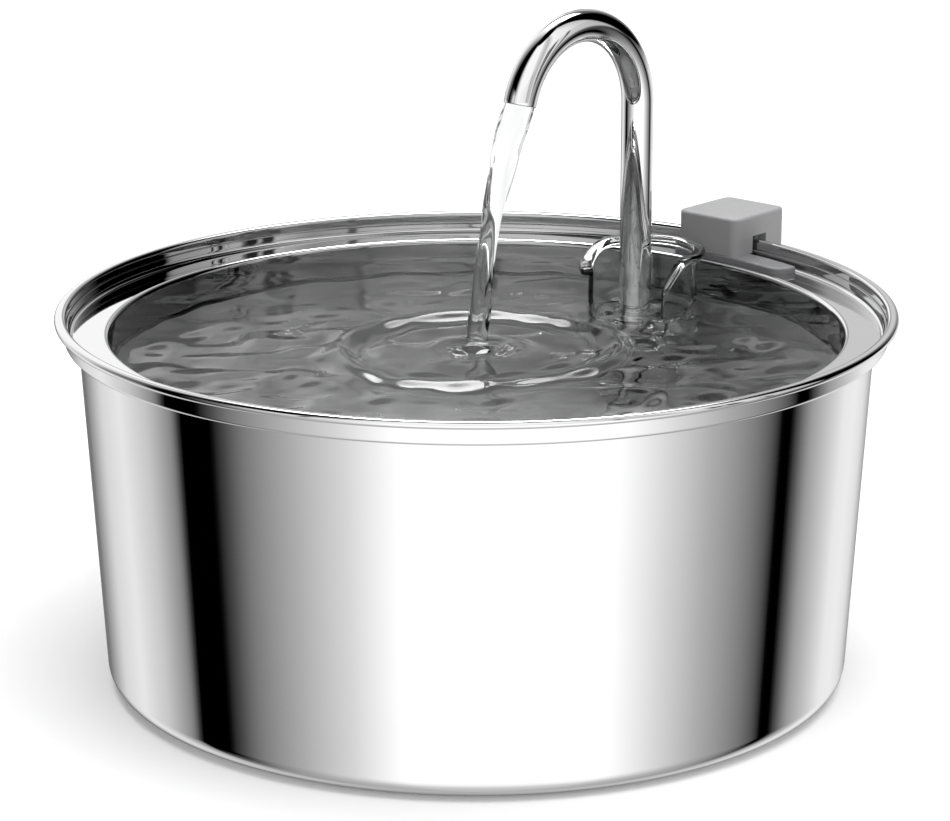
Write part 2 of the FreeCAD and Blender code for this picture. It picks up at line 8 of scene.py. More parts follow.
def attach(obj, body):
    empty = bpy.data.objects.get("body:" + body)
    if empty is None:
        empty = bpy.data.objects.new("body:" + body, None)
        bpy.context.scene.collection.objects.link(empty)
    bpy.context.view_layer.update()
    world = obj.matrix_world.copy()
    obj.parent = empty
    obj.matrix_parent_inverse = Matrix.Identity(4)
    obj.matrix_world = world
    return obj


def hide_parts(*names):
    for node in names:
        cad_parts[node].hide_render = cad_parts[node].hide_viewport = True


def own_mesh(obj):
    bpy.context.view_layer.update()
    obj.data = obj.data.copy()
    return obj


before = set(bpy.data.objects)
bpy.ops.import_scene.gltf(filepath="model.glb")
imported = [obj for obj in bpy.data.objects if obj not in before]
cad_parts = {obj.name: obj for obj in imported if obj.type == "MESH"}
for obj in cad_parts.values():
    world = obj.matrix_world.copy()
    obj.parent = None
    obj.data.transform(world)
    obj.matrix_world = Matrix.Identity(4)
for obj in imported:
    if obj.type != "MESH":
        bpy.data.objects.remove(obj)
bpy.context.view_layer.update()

MM = 0.001
scene = bpy.context.scene
coll = scene.collection
TAU = 2 * math.pi

# --------------------------------------------------------------- dimensions
# the object's own sizes in millimetres, the same as in the construction
SHEET = 0.6
RIM_R, RIM_Z, LIP_H = 125.0, 114.0, 2.2
CUFF_R, CUFF_Z = 122.2, 106.6
BODY_TOP_R, BODY_BOT_R, BODY_CORNER, SHELL_Z = 118.1, 112.13, 5.7, 1.0
LEDGE_Z, BASIN_R = 107.8, 109.0
BASIN_FLOOR_R, BASIN_FLOOR_Z, BASIN_CORNER = 108.2, 7.0, 10.0
FLANGE_R, FLANGE_Z = 121.55, 111.0
SPOUT_X, SPOUT_Y = 50.3, 69.4
TUBE_R, TUBE_BORE, TUBE_Z0 = 5.0, 4.3, 61.5
ARCH_R, ARCH_Z, ARCH_SWEEP, REACH_AZ = 27.7, 161.1, 165.2, -133.2
CUP_X, CUP_Y = 52.6, 70.0
WATER_Z = 96.5
UX, UY = math.cos(math.radians(REACH_AZ)), math.sin(math.radians(REACH_AZ))


# ------------------------------------------------------------------- helpers
def mesh_object(name, verts, faces, smooth=True, sharp=None, scale=MM):
    me = bpy.data.meshes.new(name)
    v = np.asarray(verts, float) * scale
    me.from_pydata([tuple(p) for p in v], [], [tuple(f) for f in faces])
    me.validate(clean_customdata=False)
    if smooth:
        me.polygons.foreach_set("use_smooth", [True] * len(me.polygons))
        if sharp is not None:
            me.set_sharp_from_angle(angle=math.radians(sharp))
    me.update()
    ob = bpy.data.objects.new(name, me)
    coll.objects.link(ob)
    return ob


def fillet_path(pts, step=12.0, support=0.25, closed=True):
    """(a, b, radius) corners to a dense outline with round corners."""
    out = []
    n = len(pts)
    for i in range(n):
        p1 = pts[i]
        if not closed and i in (0, n - 1):
            out.append((p1[0], p1[1], False))
            continue
        p0, p2 = pts[i - 1], pts[(i + 1) % n]
        rad = p1[2] if len(p1) > 2 else 0.0
        if rad <= 0:
            out.append((p1[0], p1[1], False))
            continue
        ax, ay = p0[0] - p1[0], p0[1] - p1[1]
        bx, by = p2[0] - p1[0], p2[1] - p1[1]
        la, lb = math.hypot(ax, ay), math.hypot(bx, by)
        ax, ay, bx, by = ax / la, ay / la, bx / lb, by / lb
        half = math.acos(max(-1, min(1, ax * bx + ay * by))) / 2
        d = rad / math.tan(half)
        s = (p1[0] + ax * d, p1[1] + ay * d)
        e = (p1[0] + bx * d, p1[1] + by * d)
        mx, my = ax + bx, ay + by
        lm = math.hypot(mx, my)
        c = (p1[0] + mx / lm * rad / math.sin(half), p1[1] + my / lm * rad / math.sin(half))
        a0 = math.atan2(s[1] - c[1], s[0] - c[0])
        a1 = math.atan2(e[1] - c[1], e[0] - c[0])
        da = (a1 - a0 + math.pi) % TAU - math.pi
        k = max(2, int(math.ceil(abs(math.degrees(da)) / step)))
        for j in range(k + 1):
            a = a0 + da * j / k
            out.append((c[0] + rad * math.cos(a), c[1] + rad * math.sin(a), True))
    # support points close to the ends of every long straight run
    dense = []
    m = len(out)
    last = m if closed else m - 1
    for i in range(m):
        dense.append(out[i][:2])
        if i >= last and not closed:
            continue
        q = out[(i + 1) % m]
        if not closed and i == m - 1:
            continue
        dx, dy = q[0] - out[i][0], q[1] - out[i][1]
        ln = math.hypot(dx, dy)
        if ln > 4 * support:
            t0, t1 = support / ln, 1 - support / ln
            inner = [t0]
            extra = int(ln // 12.0)
            inner += [t0 + (t1 - t0) * (j + 1) / (extra + 1) for j in range(extra)]
            inner.append(t1)
            for t in inner:
                dense.append((out[i][0] + dx * t, out[i][1] + dy * t))
    return dense


def lathe(name, profile, segs=288, x=0.0, y=0.0, sharp=35.0):
    """Closed (r, z) outline turned round the vertical axis. Points on the
    axis become single vertices."""
    verts, rings = [], []
    for r, z in profile:
        if r < 1e-6:
            rings.append([len(verts)])
            verts.append((x, y, z))
        else:
            base = len(verts)
            for i in range(segs):
                a = TAU * i / segs
                verts.append((x + r * math.cos(a), y + r * math.sin(a), z))
            rings.append(list(range(base, base + segs)))
    faces = []
    n = len(rings)
    for k in range(n):
        A, B = rings[k], rings[(k + 1) % n]
        if len(A) == 1 and len(B) == 1:
            continue
        for i in range(segs):
            j = (i + 1) % segs
            if len(A) == 1:
                faces.append((A[0], B[j], B[i]))
            elif len(B) == 1:
                faces.append((A[i], A[j], B[0]))
            else:
                faces.append((A[i], A[j], B[j], B[i]))
    ob = mesh_object(name, verts, faces, sharp=sharp)
    fix_normals(ob)
    return ob


def fix_normals(ob):
    bm = bmesh.new()
    bm.from_mesh(ob.data)
    bmesh.ops.remove_doubles(bm, verts=bm.verts, dist=1e-7)
    bmesh.ops.recalc_face_normals(bm, faces=bm.faces)
    bm.to_mesh(ob.data)
    bm.free()
    ob.data.update()


def zone(ob, slot, test):
    """Give the faces that pass the test (centre as (r, z), normal) a slot."""
    for p in ob.data.polygons:
        c = (math.hypot(p.center.x, p.center.y), p.center.z)
        if test(c, p.normal):
            p.material_index = slot


# ----------------------------------------------------------------- materials
def new_material(name):
    m = bpy.data.materials.new(name)
    m.use_nodes = True
    nt = m.node_tree
    b = nt.nodes["Principled BSDF"]
    return m, nt, b


def link(nt, a, b):
    nt.links.new(a, b)


def object_coords(nt, scale=(1, 1, 1)):
    tc = nt.nodes.new("ShaderNodeTexCoord")
    mp = nt.nodes.new("ShaderNodeMapping")
    mp.inputs["Scale"].default_value = scale
    link(nt, tc.outputs["Object"], mp.inputs["Vector"])
    return mp.outputs["Vector"]


def noise(nt, vec, scale, detail=3.0, rough=0.5, dist=0.0):
    n = nt.nodes.new("ShaderNodeTexNoise")
    n.inputs["Scale"].default_value = scale
    n.inputs["Detail"].default_value = detail
    n.inputs["Roughness"].default_value = rough
    n.inputs["Distortion"].default_value = dist
    link(nt, vec, n.inputs["Vector"])
    return n.outputs["Fac"]


def remap(nt, val, a, b, c, d, clamp=True):
    m = nt.nodes.new("ShaderNodeMapRange")
    m.clamp = clamp
    m.inputs["From Min"].default_value = a
    m.inputs["From Max"].default_value = b
    m.inputs["To Min"].default_value = c
    m.inputs["To Max"].default_value = d
    link(nt, val, m.inputs["Value"])
    return m.outputs["Result"]


def math_node(nt, op, a, b=None):
    m = nt.nodes.new("ShaderNodeMath")
    m.operation = op
    for i, v in enumerate((a, b)):
        if v is None:
            continue
        if isinstance(v, (int, float)):
            m.inputs[i].default_value = v
        else:
            link(nt, v, m.inputs[i])
    return m.outputs[0]


def mix_colour(nt, fac, c0, c1):
    m = nt.nodes.new("ShaderNodeMix")
    m.data_type = "RGBA"
    m.inputs["A"].default_value = (*c0, 1)
    m.inputs["B"].default_value = (*c1, 1)
    link(nt, fac, m.inputs["Factor"])
    return m.outputs["Result"]


def bump(nt, height, strength, distance, normal=None):
    b = nt.nodes.new("ShaderNodeBump")
    b.inputs["Strength"].default_value = strength
    b.inputs["Distance"].default_value = distance
    link(nt, height, b.inputs["Height"])
    if normal is not None:
        link(nt, normal, b.inputs["Normal"])
    return b.outputs["Normal"]


def polished_steel(name, base=0.80, rough=(0.018, 0.05), centre=(0, 0), ring_scale=900.0,
                   ring_bump=0.010, wave_bump=0.0):
    """Mirror-polished stainless: hardly visible turning lines round the
    axis, faint smudges in the gloss and a slow waviness."""
    m, nt, b = new_material(name)
    tc = nt.nodes.new("ShaderNodeTexCoord")
    sep = nt.nodes.new("ShaderNodeSeparateXYZ")
    link(nt, tc.outputs["Object"], sep.inputs[0])
    x = math_node(nt, "SUBTRACT", sep.outputs["X"], centre[0] * MM)
    y = math_node(nt, "SUBTRACT", sep.outputs["Y"], centre[1] * MM)
    rr = math_node(nt, "SQRT", math_node(nt, "ADD", math_node(nt, "MULTIPLY", x, x),
                                         math_node(nt, "MULTIPLY", y, y)))
    comb = nt.nodes.new("ShaderNodeCombineXYZ")
    link(nt, rr, comb.inputs["X"])
    link(nt, sep.outputs["Z"], comb.inputs["Y"])
    lines = noise(nt, comb.outputs[0], ring_scale, 2.0, 0.6)
    smudge = noise(nt, object_coords(nt, (1, 1, 1)), 22.0, 4.0, 0.6)
    fine = noise(nt, object_coords(nt, (1, 1, 1)), 260.0, 3.0, 0.55)
    f = math_node(nt, "ADD", math_node(nt, "MULTIPLY", smudge, 0.7), math_node(nt, "MULTIPLY", fine, 0.3))
    link(nt, remap(nt, f, 0.35, 0.68, rough[0], rough[1]), b.inputs["Roughness"])
    link(nt, mix_colour(nt, remap(nt, smudge, 0.3, 0.7, 0, 1), (base * 0.985,) * 3,
                        (base * 1.01, base * 1.01, base * 1.012)), b.inputs["Base Color"])
    n = bump(nt, lines, ring_bump, 0.0002)
    if wave_bump:
        n = bump(nt, noise(nt, object_coords(nt, (1, 1, 0.6)), 14.0, 1.0, 0.4), wave_bump, 0.001, n)
    link(nt, n, b.inputs["Normal"])
    b.inputs["Metallic"].default_value = 1.0
    return m


def moulded_plastic(name, colour, rough=(0.42, 0.55), grain=900.0, grain_bump=0.10, tone=0.04):
    m, nt, b = new_material(name)
    vec = object_coords(nt)
    g = noise(nt, vec, grain, 2.0, 0.55)
    big = noise(nt, vec, 60.0, 3.0, 0.5)
    c0 = tuple(c * (1 - tone) for c in colour)
    c1 = tuple(min(1.0, c * (1 + tone)) for c in colour)
    link(nt, mix_colour(nt, remap(nt, big, 0.3, 0.7, 0, 1), c0, c1), b.inputs["Base Color"])
    link(nt, remap(nt, g, 0.3, 0.7, rough[0], rough[1]), b.inputs["Roughness"])
    link(nt, bump(nt, g, grain_bump, 0.0002), b.inputs["Normal"])
    return m


def clear_plastic(name, colour=(0.97, 0.98, 0.98), rough=0.02, ior=1.46):
    m, nt, b = new_material(name)
    vec = object_coords(nt)
    n = noise(nt, vec, 70.0, 2.0, 0.5)
    b.inputs["Base Color"].default_value = (*colour, 1)
    b.inputs["Transmission Weight"].default_value = 1.0
    b.inputs["IOR"].default_value = ior
    link(nt, remap(nt, n, 0.3, 0.7, rough * 0.4, rough), b.inputs["Roughness"])
    link(nt, bump(nt, n, 0.03, 0.0004), b.inputs["Normal"])
    return m


def water_material(name, tint=(0.985, 0.992, 0.992), rough=0.0, ior=1.333):
    m, nt, b = new_material(name)
    vec = object_coords(nt)
    n = noise(nt, vec, 120.0, 2.0, 0.5)
    b.inputs["Base Color"].default_value = (*tint, 1)
    b.inputs["Transmission Weight"].default_value = 1.0
    b.inputs["IOR"].default_value = ior
    b.inputs["Roughness"].default_value = rough
    link(nt, bump(nt, n, 0.02, 0.0003), b.inputs["Normal"])
    return m


STEEL = polished_steel("polished_steel")
BASIN = polished_steel("polished_steel_basin", base=0.80, rough=(0.02, 0.05), wave_bump=0.03)
SATIN = polished_steel("satin_steel_floor", base=0.73, rough=(0.82, 0.90), ring_scale=1500.0, ring_bump=0.02)
# much darker copy of the polished steel for the basin wall above the water: its dark reflections and shade are painted
# into the colour
SHADED_WALL = polished_steel("polished_steel_wall_painted_shade", base=0.38, rough=(0.01, 0.03), wave_bump=0.03)
# darker copy of the polished steel for the inner faces of the rim and the flange upturn: painted shade
SHADED_INSIDE = polished_steel("polished_steel_inside_painted_shade", base=0.50, rough=(0.01, 0.03), wave_bump=0.03)
SPOUT = polished_steel("polished_steel_spout", base=0.82, rough=(0.012, 0.035),
                       centre=(SPOUT_X, SPOUT_Y), ring_bump=0.0)
PAD = moulded_plastic("base_silicone", (0.035, 0.035, 0.038), (0.55, 0.7), 1200, 0.15)
CLEAR = clear_plastic("clear_plastic")
CLEAR_SIL = clear_plastic("clear_silicone", (0.85, 0.87, 0.88), 0.25, 1.41)
DARK = moulded_plastic("dark_plastic", (0.05, 0.05, 0.053), (0.35, 0.5))
DARK_SIL = moulded_plastic("dark_silicone", (0.03, 0.03, 0.03), (0.5, 0.65))
GREY = moulded_plastic("clip_plastic", (0.275, 0.275, 0.28), (0.40, 0.50), 1100, 0.05, 0.02)
# dark silicone for the grips and grommets; on the clip's foot the same dark tone is painted shade, darker than the grey
# plastic of the clip
SILICONE_AND_SHADE = moulded_plastic("foot_silicone", (0.15, 0.15, 0.155), (0.34, 0.46), 900, 0.05, 0.03)
WATER = water_material("water")
# the jet: water with a grey tint, painted shade so that it does not read pure white
SHADED_JET = water_material("water_jet_painted_shade", (0.82, 0.825, 0.825), 0.04, 1.30)


def simple(name, colour, rough=0.4, metal=0.0, scale=400.0, tone=0.08):
    m, nt, b = new_material(name)
    n = noise(nt, object_coords(nt), scale, 3.0, 0.55)
    c0 = tuple(c * (1 - tone) for c in colour)
    c1 = tuple(min(1.0, c * (1 + tone)) for c in colour)
    link(nt, mix_colour(nt, remap(nt, n, 0.3, 0.7, 0, 1), c0, c1), b.inputs["Base Color"])
    link(nt, remap(nt, n, 0.3, 0.7, rough * 0.85, rough * 1.15), b.inputs["Roughness"])
    link(nt, bump(nt, n, 0.1, 0.0002), b.inputs["Normal"])
    b.inputs["Metallic"].default_value = metal
    return m


MATS = {
    "base_pad": PAD, "housing_cup": CLEAR, "housing_base": CLEAR, "housing_deck": CLEAR,
    "spout_collar": CLEAR, "suction_feet": CLEAR_SIL, "deck_grommet": CLEAR_SIL,
    "filter_foam": simple("foam", (0.11, 0.11, 0.12), 0.9, 0, 1500, 0.3),
    "filter_carbon": simple("carbon_pad", (0.6, 0.6, 0.58), 0.9, 0, 900, 0.2),
    "pump_cradle": DARK, "pump_body": DARK, "pump_back_cap": DARK, "pump_cover": DARK,
    "stator_core": simple("laminations", (0.35, 0.35, 0.36), 0.35, 1.0, 2000),
    "stator_coils": simple("copper_wire", (0.65, 0.28, 0.12), 0.3, 1.0, 3000),
    "driver_board": simple("circuit_board", (0.02, 0.12, 0.05), 0.4, 0, 1500, 0.3),
    "pump_screws": simple("screw_steel", (0.6, 0.6, 0.6), 0.25, 1.0),
    "clip_screws": simple("screw_steel_b", (0.6, 0.6, 0.6), 0.25, 1.0),
    "rotor_shaft": simple("ceramic", (0.8, 0.8, 0.78), 0.2, 0, 800, 0.03),
    "shaft_bushes": DARK_SIL, "pump_gland": DARK_SIL, "spout_socket": DARK_SIL,
    "socket_orings": DARK_SIL,
    "impeller": simple("rotor_plastic", (0.75, 0.75, 0.75), 0.4, 0, 600, 0.04),
    "rotor_magnet": simple("ferrite", (0.06, 0.06, 0.065), 0.5, 0.3, 900, 0.2),
    "clip_hood": GREY, "clip_saddle": GREY, "clip_grommets": SILICONE_AND_SHADE, "clip_grips": SILICONE_AND_SHADE,
    # clip_foot: painted shade, the clip's grey plastic made darker
    "clip_foot": SILICONE_AND_SHADE, "outer_shell": STEEL, "inner_bowl": BASIN, "spout_tube": SPOUT,
}
for node, mat in MATS.items():
    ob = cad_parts[node]
    ob.data.materials.clear()
    ob.data.materials.append(mat)


# -------------------------------------------------------------------- vessel
slope = (BODY_TOP_R - BODY_BOT_R) / (CUFF_Z - SHELL_Z)
body_in = SHEET / math.cos(math.atan(slope))
shelf_top = CUFF_Z + SHEET
shell_profile = fillet_path([
    (0, SHELL_Z),
    (BODY_BOT_R, SHELL_Z, BODY_CORNER),
    (BODY_TOP_R, CUFF_Z, 0.9),
    (CUFF_R, CUFF_Z, 0.9),
    (CUFF_R, RIM_Z - LIP_H, 0.35),
    (RIM_R, RIM_Z - LIP_H, 1.0),
    (RIM_R, RIM_Z, 1.15),
    (CUFF_R - SHEET, RIM_Z, 1.2),
    (CUFF_R - SHEET, shelf_top, 0.3),
    (BODY_TOP_R - body_in + slope * SHEET, shelf_top, 0.3),
    (BODY_BOT_R - body_in + slope * SHEET, SHELL_Z + SHEET, BODY_CORNER - SHEET),
    (0, SHELL_Z + SHEET)], step=9.0)
outer = lathe("outer_shell_spun", shell_profile, 360, sharp=50)
outer.data.materials.append(STEEL)
outer.data.materials.append(SHADED_INSIDE)
# the inner faces of the lip and cuff take the darker steel, painted shade
zone(outer, 1, lambda c, n: c[1] > 0.1082 and c[1] < 0.1136 and c[0] < 0.1219 and abs(n.z) < 0.75)
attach(outer, "bowl")
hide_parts("outer_shell")

basin_profile = fillet_path([
    (0, BASIN_FLOOR_Z - SHEET),
    (BASIN_FLOOR_R + SHEET, BASIN_FLOOR_Z - SHEET, BASIN_CORNER + SHEET),
    (BASIN_R + SHEET, LEDGE_Z - SHEET, 0.9),
    (FLANGE_R, LEDGE_Z - SHEET, 2.0),
    (FLANGE_R, FLANGE_Z, 0.2),
    (FLANGE_R - SHEET, FLANGE_Z, 0.2),
    (FLANGE_R - SHEET, LEDGE_Z, 1.4),
    (BASIN_R, LEDGE_Z, 1.5),
    (BASIN_FLOOR_R, BASIN_FLOOR_Z, BASIN_CORNER),
    (0, BASIN_FLOOR_Z)], step=9.0)
basin = lathe("inner_bowl_spun", basin_profile, 360, sharp=50)
basin.data.materials.append(BASIN)
basin.data.materials.append(SHADED_INSIDE)
basin.data.materials.append(SATIN)
basin.data.materials.append(SHADED_WALL)
# the flange upturn under the lip takes the darker steel, painted shade
zone(basin, 1, lambda c, n: c[0] > 0.1202 and c[1] > 0.1083)
# the wall above the water takes that darker steel, painted shade
zone(basin, 3, lambda c, n: c[0] < 0.1094 and c[1] > 0.093 and abs(n.z) < 0.6)
zone(basin, 2, lambda c, n: c[0] < 0.1094 and 0.0066 < c[1] <= 0.093)
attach(basin, "bowl")
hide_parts("inner_bowl")


# --------------------------------------------------------------------- spout
def spout_axis(n_arc=72, n_leg=14):
    pts = []
    for i in range(n_leg):
        z = TUBE_Z0 + (ARCH_Z - TUBE_Z0) * i / n_leg
        pts.append(((SPOUT_X, SPOUT_Y, z), (0, 0, 1)))
    for i in range(n_arc + 1):
        t = math.radians(ARCH_SWEEP) * i / n_arc
        d = ARCH_R * (1 - math.cos(t))
        pts.append(((SPOUT_X + UX * d, SPOUT_Y + UY * d, ARCH_Z + ARCH_R * math.sin(t)),
                    (UX * math.sin(t), UY * math.sin(t), math.cos(t))))
    return pts


def tube_mesh(name, axis, outer_r, inner_r, segs=64, edge=0.25):
    side = Vector((-UY, UX, 0))
    verts, faces = [], []
    def ring_at(p, d, r):
        d = Vector(d).normalized()
        up = side.cross(d).normalized()
        base = len(verts)
        for i in range(segs):
            a = TAU * i / segs
            q = Vector(p) + side * (math.cos(a) * r) + up * (math.sin(a) * r)
            verts.append(tuple(q))
        return base
    def shift(i, dist):
        p, d = axis[i]
        dv = Vector(d).normalized()
        return tuple(Vector(p) + dv * dist), d
    loops = []
    # outside, from the lower end to the mouth
    p, d = shift(0, edge); pe, de = axis[0]
    loops.append(ring_at(pe, de, outer_r - edge))
    loops.append(ring_at(*shift(0, edge * 0.3), outer_r - edge * 0.3))
    loops.append(ring_at(p, d, outer_r))
    for i in range(1, len(axis) - 1):
        loops.append(ring_at(axis[i][0], axis[i][1], outer_r))
    L = len(axis) - 1
    loops.append(ring_at(*shift(L, -edge), outer_r))
    loops.append(ring_at(*shift(L, -edge * 0.3), outer_r - edge * 0.3))
    loops.append(ring_at(*shift(L, 0), outer_r - edge))
    loops.append(ring_at(*shift(L, 0), inner_r + edge * 0.5))
    loops.append(ring_at(*shift(L, -edge * 0.5), inner_r))
    for i in range(len(axis) - 2, 0, -1):
        loops.append(ring_at(axis[i][0], axis[i][1], inner_r))
    loops.append(ring_at(*shift(0, edge * 0.5), inner_r))
    loops.append(ring_at(*shift(0, 0), inner_r + edge * 0.5))
    n = len(loops)
    for k in range(n):
        A, B = loops[k], loops[(k + 1) % n]
        for i in range(segs):
            j = (i + 1) % segs
            faces.append((A + i, A + j, B + j, B + i))
    ob = mesh_object(name, verts, faces, sharp=50)
    fix_normals(ob)
    return ob


spout = tube_mesh("spout_tube_drawn", spout_axis(), TUBE_R, TUBE_BORE)
spout.data.materials.append(SPOUT)
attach(spout, "spout")
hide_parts("spout_tube")

# ----------------------------------------------------------------- clear cup
# the wall of the housing with its open scoop: the same heights as in the
# construction, with the rolled rim and the moulded edges rounded
RIM_LINE = [(-75.0, 102.4), (-73.0, 103.7), (-71.0, 104.9), (-69.0, 106.0),
            (-66.0, 107.6), (-63.0, 109.1), (-60.0, 110.5), (-56.5, 112.0),
            (-52.5, 113.3), (-48.0, 114.1), (-42.0, 114.45), (-30.0, 114.5),
            (0.0, 114.5), (30.0, 114.5), (60.0, 114.5), (90.0, 114.5),
            (112.0, 114.5), (122.0, 114.45), (130.0, 114.15), (138.0, 113.5),
            (146.0, 112.5), (154.0, 111.4), (162.0, 110.3), (170.0, 109.5),
            (178.0, 109.1), (186.0, 108.8), (194.0, 108.3), (198.0, 108.0)]
SCOOP_A0, SCOOP_A1, SCOOP_Z = -71.0, 194.0, 88.6
CUP_R, CUP_BORE, CUP_RIM_R, CUP_RIM_T, CUP_Z0, DECK_Z = 17.3, 15.8, 20.0, 2.2, 19.0, 86.0


def rim_height(a):
    xs = np.array([q[0] for q in RIM_LINE])
    ys = np.array([q[1] for q in RIM_LINE])
    m = np.gradient(ys, xs)
    k = int(min(len(xs) - 2, max(0, np.searchsorted(xs, a) - 1)))
    h = xs[k + 1] - xs[k]
    t = (a - xs[k]) / h
    return float((2 * t**3 - 3 * t**2 + 1) * ys[k] + (t**3 - 2 * t**2 + t) * h * m[k]
                 + (-2 * t**3 + 3 * t**2) * ys[k + 1] + (t**3 - t**2) * h * m[k + 1])


def arc(cx, cz, r, a0, a1, n=5):
    return [(cx + r * math.cos(math.radians(a0 + (a1 - a0) * i / (n - 1))),
             cz + r * math.sin(math.radians(a0 + (a1 - a0) * i / (n - 1)))) for i in range(n)]


def cup_mesh():
    lower_in = [(CUP_BORE, CUP_Z0), (CUP_BORE, CUP_Z0 + 0.4), (CUP_BORE, 50.0), (CUP_BORE, DECK_Z - 1.9),
                (CUP_BORE, DECK_Z - 1.6), (CUP_BORE - 0.6, DECK_Z - 1.6), (CUP_BORE - 0.9, DECK_Z - 1.3),
                (CUP_BORE - 0.9, DECK_Z - 0.1), (CUP_BORE - 0.8, DECK_Z), (CUP_BORE, DECK_Z),
                (CUP_BORE, SCOOP_Z - 0.6), (CUP_BORE, SCOOP_Z - 0.35)]
    lower_out = [(CUP_R, SCOOP_Z - 0.35), (CUP_R, SCOOP_Z - 0.6), (CUP_R, 50.0), (CUP_R, CUP_Z0 + 0.4), (CUP_R, CUP_Z0)]
    mid_r = 0.5 * (CUP_R + CUP_BORE)

    def upper(a, thin):
        zt = rim_height(a)
        zb = zt - CUP_RIM_T
        pts = [(CUP_BORE, SCOOP_Z + 0.3), (CUP_BORE, 0.5 * (SCOOP_Z + zb)), (CUP_BORE, zb), (CUP_BORE, zt - 1.2)]
        pts += arc(CUP_BORE + 1.0, zt - 1.0, 1.0, 180, 90, 6)
        pts += [(0.5 * (CUP_BORE + CUP_RIM_R), zt)]
        pts += arc(CUP_RIM_R - 1.05, zt - 1.05, 1.05, 90, 0, 6)
        pts += arc(CUP_RIM_R - 1.05, zb + 1.05, 1.05, 0, -90, 6)
        pts += [(CUP_R + 1.3, zb), (CUP_R + 0.6, zb)]
        pts += arc(CUP_R + 0.5, zb - 0.5, 0.5, 90, 180, 4)
        pts += [(CUP_R, zb - 0.9), (CUP_R, 0.5 * (SCOOP_Z + zb)), (CUP_R, SCOOP_Z + 0.3)]
        zm = zt - 0.5 * CUP_RIM_T
        out = []
        for r, z in pts:
            r = mid_r + (r - mid_r) * thin
            if z > zb - 1.5:
                z = zm + (z - zm) * (0.35 + 0.65 * thin)
            out.append((r, z))
        return out

    n_up = len(upper(0.0, 1.0))

    def sill():
        out = []
        for i in range(n_up):
            t = i / (n_up - 1)
            r = CUP_BORE + 0.02 + (CUP_R - CUP_BORE - 0.04) * t
            edge = min(r - CUP_BORE, CUP_R - r)
            z = SCOOP_Z - 0.35 + 0.35 * math.sqrt(max(0.0, 1 - (1 - min(1.0, edge / 0.35)) ** 2))
            out.append((r, z))
        return out

    end = 4.6
    slices = []
    for i in range(8):
        u = 0.985 * (1 - i / 8)
        slices.append((SCOOP_A0 + end * (1 - math.sin(u * math.pi / 2)) ** 1.0, math.cos(u * math.pi / 2)))
    slices = [(a, lower_in + upper(a, t) + lower_out) for a, t in slices]
    a = SCOOP_A0 + end
    body = np.linspace(SCOOP_A0 + end, SCOOP_A1 - end, 180)
    slices += [(float(a), lower_in + upper(float(a), 1.0) + lower_out) for a in body]
    for i in range(1, 9):
        u = 0.985 * i / 8
        a = SCOOP_A1 - end * (1 - math.sin(u * math.pi / 2))
        slices.append((a, lower_in + upper(a, math.cos(u * math.pi / 2)) + lower_out))
    for a in np.linspace(slices[-1][0] + 0.12, 360.0 + slices[0][0] - 0.12, 44):
        slices.append((float(a), lower_in + sill() + lower_out))
    verts, faces = [], []
    for a, prof in slices:
        c, sn = math.cos(math.radians(a)), math.sin(math.radians(a))
        verts += [(CUP_X + r * c, CUP_Y + r * sn, z) for r, z in prof]
    n = len(slices[0][1])
    for i in range(len(slices)):
        j = (i + 1) % len(slices)
        for k in range(n):
            m = (k + 1) % n
            faces.append((i * n + k, j * n + k, j * n + m, i * n + m))
    ob = mesh_object("housing_cup_moulded", verts, faces, sharp=55)
    fix_normals(ob)
    return ob


cup = cup_mesh()
cup.data.materials.append(CLEAR)
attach(cup, "pump_unit")
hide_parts("housing_cup")

# --------------------------------------------------------------------- water
rng = np.random.default_rng(41)
RIPPLE = (0.4, 13.2)
SPLASH = [(7.4, -2.2, 1.5, 1.3), (9.6, 0.4, 1.0, 1.2), (8.6, 3.6, 0.8, 1.3), (-6.6, -3.0, 1.2, 1.3),
          (-7.8, 1.2, 0.7, 1.2), (3.2, -7.0, 0.9, 1.4), (-2.4, -7.6, 0.7, 1.3), (4.4, 7.0, 0.9, 1.4),
          (11.8, -3.0, 0.5, 1.2)]
waves = []
for i in range(40):
    lam = 7.5 * (34.0 / 7.5) ** rng.random()
    th = rng.random() * TAU
    waves.append((lam, th, rng.random() * TAU, 0.0039 * lam ** 1.0))


def water_height(x, y):
    """Height of the surface over its level, mm."""
    h = np.zeros_like(x)
    for lam, th, ph, amp in waves:
        k = TAU / lam
        h += amp * np.sin(k * (x * np.cos(th) + y * np.sin(th)) + ph)
    dx, dy = x - RIPPLE[0], y - RIPPLE[1]
    r = np.hypot(dx, dy)
    az = np.arctan2(dy, dx)
    wob = 1.6 * np.sin(2 * az + 0.6) + 0.9 * np.sin(3 * az + 2.0)
    calm = 1 - 0.55 * np.exp(-((r - 30) / 22.0) ** 2)
    h *= calm
    r0 = 41.5 + wob
    h += 1.7 * np.exp(-((r - r0) / 3.5) ** 2) - 0.45 * np.exp(-((r - r0 + 7.5) / 4.2) ** 2)
    h += 0.22 * np.exp(-((r - 29.0 - 0.6 * wob) / 3.4) ** 2)
    h += 0.42 * np.exp(-((r - 13.5 - 0.4 * wob) / 2.8) ** 2) - 0.25 * np.exp(-((r - 8.8) / 2.4) ** 2)
    h += 0.75 * np.exp(-((r - 5.6 - 0.25 * np.sin(5 * az)) / 1.1) ** 2)
    h += -0.20 * np.exp(-((r - 50.0 - 1.6 * wob) / 3.6) ** 2) + 0.12 * np.exp(-((r - 57.0 - 1.6 * wob) / 3.4) ** 2)
    # the splash thrown up round the foot of the jet
    for bx, by, bh, bw in SPLASH:
        h += bh * np.exp(-((dx - bx) ** 2 + (dy - by) ** 2) / bw ** 2)
    rb = np.hypot(x, y)
    h += 0.9 * np.exp(-(BASIN_R - 0.1 - rb) / 0.9)
    return h


